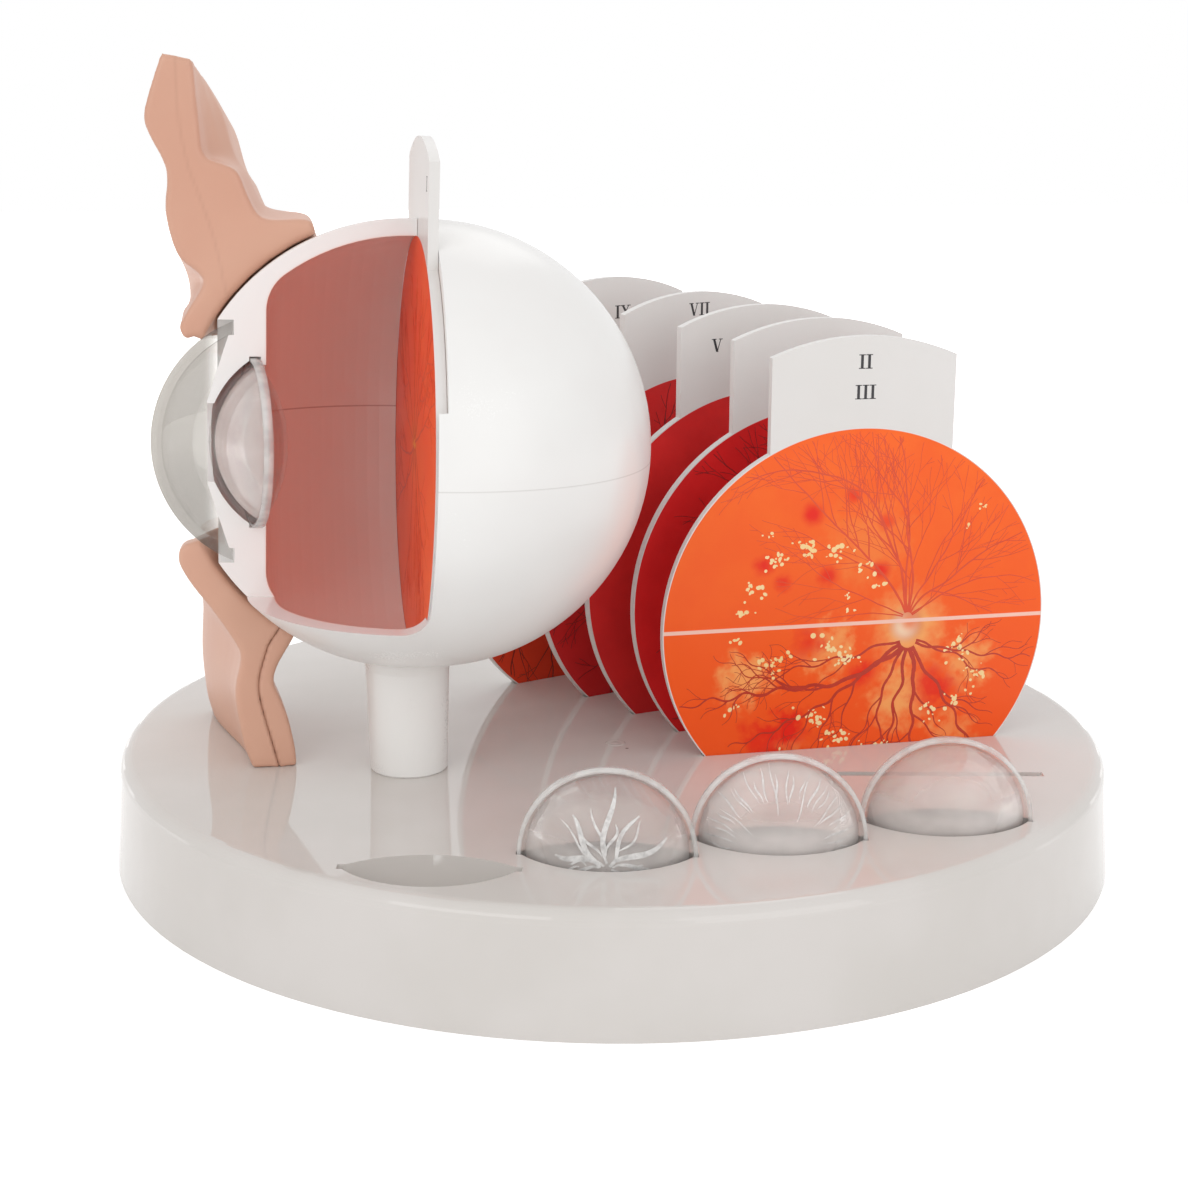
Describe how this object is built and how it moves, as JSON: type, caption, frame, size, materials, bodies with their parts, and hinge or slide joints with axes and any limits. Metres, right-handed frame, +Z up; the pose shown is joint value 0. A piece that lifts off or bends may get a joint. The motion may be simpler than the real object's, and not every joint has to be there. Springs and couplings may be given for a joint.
{
  "type": "eye anatomy model",
  "caption": "Enlarged sectioned human eye with cornea, lens and eyelids on a round stand that also stores slide-in retina cards and loose lenses.",
  "frame": {"origin": "middle of the stand's underside, on the table", "axes": "+Z up, the eye looks toward -X, the viewer and the loose lenses are on the -Y side"},
  "size_m": [0.291, 0.291, 0.2256],
  "materials": {
    "stand_plastic": "gloss",
    "plate_plastic": "matte",
    "screw_steel": "brushed",
    "eyeball_plastic": "gloss",
    "lid_plastic": "satin",
    "clear_plastic": "clear gloss",
    "card_orange": "printed gloss",
    "card_red": "printed gloss",
    "card_brown": "printed gloss"
  },
  "bodies": {
    "stand": {"base_shell": "stand_plastic", "base_plate": "plate_plastic", "base_screws": "screw_steel", "stem": "eyeball_plastic", "stem_bolt": "screw_steel", "eye_shell_lower": "eyeball_plastic", "eye_shell_upper": "eyeball_plastic", "upper_lid_front": "lid_plastic", "upper_lid_back": "lid_plastic", "lower_lid_front": "lid_plastic", "lower_lid_back": "lid_plastic", "cornea": "clear_plastic"},
    "eye_lens": {"eye_lens_front": "clear_plastic", "eye_lens_back": "clear_plastic"},
    "lens_1": {"lens_1_front": "clear_plastic", "lens_1_back": "clear_plastic"},
    "lens_2": {"lens_2_front": "clear_plastic", "lens_2_back": "clear_plastic"},
    "lens_3": {"lens_3_front": "clear_plastic", "lens_3_back": "clear_plastic"},
    "eye_card": {"eye_card": "card_orange"},
    "card_1": {"card_1": "card_orange"},
    "card_2": {"card_2": "card_red"},
    "card_3": {"card_3": "card_red"},
    "card_4": {"card_4": "card_red"},
    "card_5": {"card_5": "card_brown"}
  },
  "joints": [
    {"name": "eye_card_lift", "type": "slide", "parent": "stand", "child": "eye_card", "axis": [0.0349, 0, 0.9994], "range_m": [0, 0.122]},
    {"name": "eye_lens_pull", "type": "slide", "parent": "stand", "child": "eye_lens", "axis": [0.1391, -0.9903, -0.0049], "range_m": [0, 0.05]},
    {"name": "lens_1_lift", "type": "slide", "parent": "stand", "child": "lens_1", "axis": [0, 0, 1], "range_m": [0, 0.04]},
    {"name": "lens_2_lift", "type": "slide", "parent": "stand", "child": "lens_2", "axis": [0, 0, 1], "range_m": [0, 0.04]},
    {"name": "lens_3_lift", "type": "slide", "parent": "stand", "child": "lens_3", "axis": [0, 0, 1], "range_m": [0, 0.04]},
    {"name": "card_1_lift", "type": "slide", "parent": "stand", "child": "card_1", "axis": [0, 0, 1], "range_m": [0, 0.06]},
    {"name": "card_2_lift", "type": "slide", "parent": "stand", "child": "card_2", "axis": [0, 0, 1], "range_m": [0, 0.06]},
    {"name": "card_3_lift", "type": "slide", "parent": "stand", "child": "card_3", "axis": [0, 0, 1], "range_m": [0, 0.06]},
    {"name": "card_4_lift", "type": "slide", "parent": "stand", "child": "card_4", "axis": [0, 0, 1], "range_m": [0, 0.06]},
    {"name": "card_5_lift", "type": "slide", "parent": "stand", "child": "card_5", "axis": [0, 0, 1], "range_m": [0, 0.06]}
  ]
}
